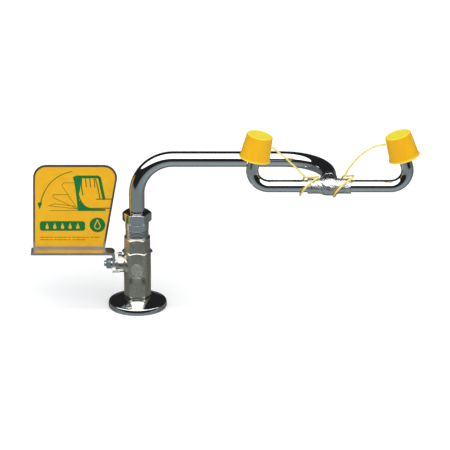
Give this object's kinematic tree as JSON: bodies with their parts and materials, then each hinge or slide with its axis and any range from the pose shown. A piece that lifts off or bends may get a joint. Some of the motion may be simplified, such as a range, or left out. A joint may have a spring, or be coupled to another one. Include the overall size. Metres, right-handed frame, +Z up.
{
  "type": "deck-mounted eyewash station",
  "caption": "Deck-mounted eyewash with a push-flag ball valve, a swinging bent spout arm, a tee and spray heads under tethered dust caps.",
  "frame": {"origin": "centre of the deck flange's underside, at the mouth of the supply thread", "axes": "+Z up along the valve and the swivel axis; +X along the spout arm at rest; the spray heads stand out towards -Y, the user's side"},
  "size_m": [0.3989, 0.1267, 0.2223],
  "materials": {
    "chrome": "polished chrome plate on brass",
    "cast_chrome": "chrome plate on rough casting",
    "nickel": "satin nickel plate on forged brass",
    "stainless": "bright stainless sheet",
    "zinc_steel": "zinc plated steel",
    "ptfe": "plain PTFE",
    "seal_rubber": "black nitrile rubber",
    "label_print": "printed vinyl label",
    "cap_plastic": "moulded satin polyethylene",
    "tether_plastic": "translucent moulded cord"
  },
  "bodies": {
    "base": {"deck_flange": "chrome", "valve_body": "nickel", "valve_end": "nickel", "lower_seat": "ptfe", "upper_seat": "ptfe", "body_seal": "ptfe", "stem_packing": "ptfe", "gland_nut": "zinc_steel", "swivel_adapter": "chrome", "swivel_rings": "seal_rubber", "swivel_washer": "ptfe", "swivel_nut": "chrome"},
    "handle": {"valve_ball": "chrome", "valve_stem": "zinc_steel", "stem_thrust_washer": "ptfe", "handle_bracket": "stainless", "stem_washer": "zinc_steel", "stem_nut": "zinc_steel", "flag_plate": "stainless", "flag_label": "label_print"},
    "arm": {"spout_pipe": "chrome", "swivel_collar": "chrome", "tee": "cast_chrome", "spray_tube_left": "chrome", "spray_tube_right": "chrome", "spray_head_left": "chrome", "spray_head_right": "chrome", "flow_regulator_left": "seal_rubber", "flow_regulator_right": "seal_rubber", "head_screen_left": "stainless", "head_screen_right": "stainless", "spray_plate_left": "chrome", "spray_plate_right": "chrome", "head_ring_left": "seal_rubber", "head_ring_right": "seal_rubber", "tether_left": "tether_plastic", "tether_right": "tether_plastic"},
    "cap_left": {"cap_left": "cap_plastic"},
    "cap_right": {"cap_right": "cap_plastic"}
  },
  "joints": [
    {"name": "arm_swing", "type": "hinge", "parent": "base", "child": "arm", "pos_m": [0, 0, 0.1], "axis": [0, 0, 1], "range_deg": [-90, 90]},
    {"name": "handle_push", "type": "hinge", "parent": "base", "child": "handle", "pos_m": [0, 0, 0.0472], "axis": [-1, 0, 0], "range_deg": [0, 90]},
    {"name": "cap_left_lift", "type": "slide", "parent": "arm", "child": "cap_left", "axis": [0.2079, 0, 0.9781], "range_m": [0, 0.028], "deforming": ["tether_left"]},
    {"name": "cap_right_lift", "type": "slide", "parent": "arm", "child": "cap_right", "axis": [-0.2756, 0, 0.9613], "range_m": [0, 0.028], "deforming": ["tether_right"]}
  ]
}
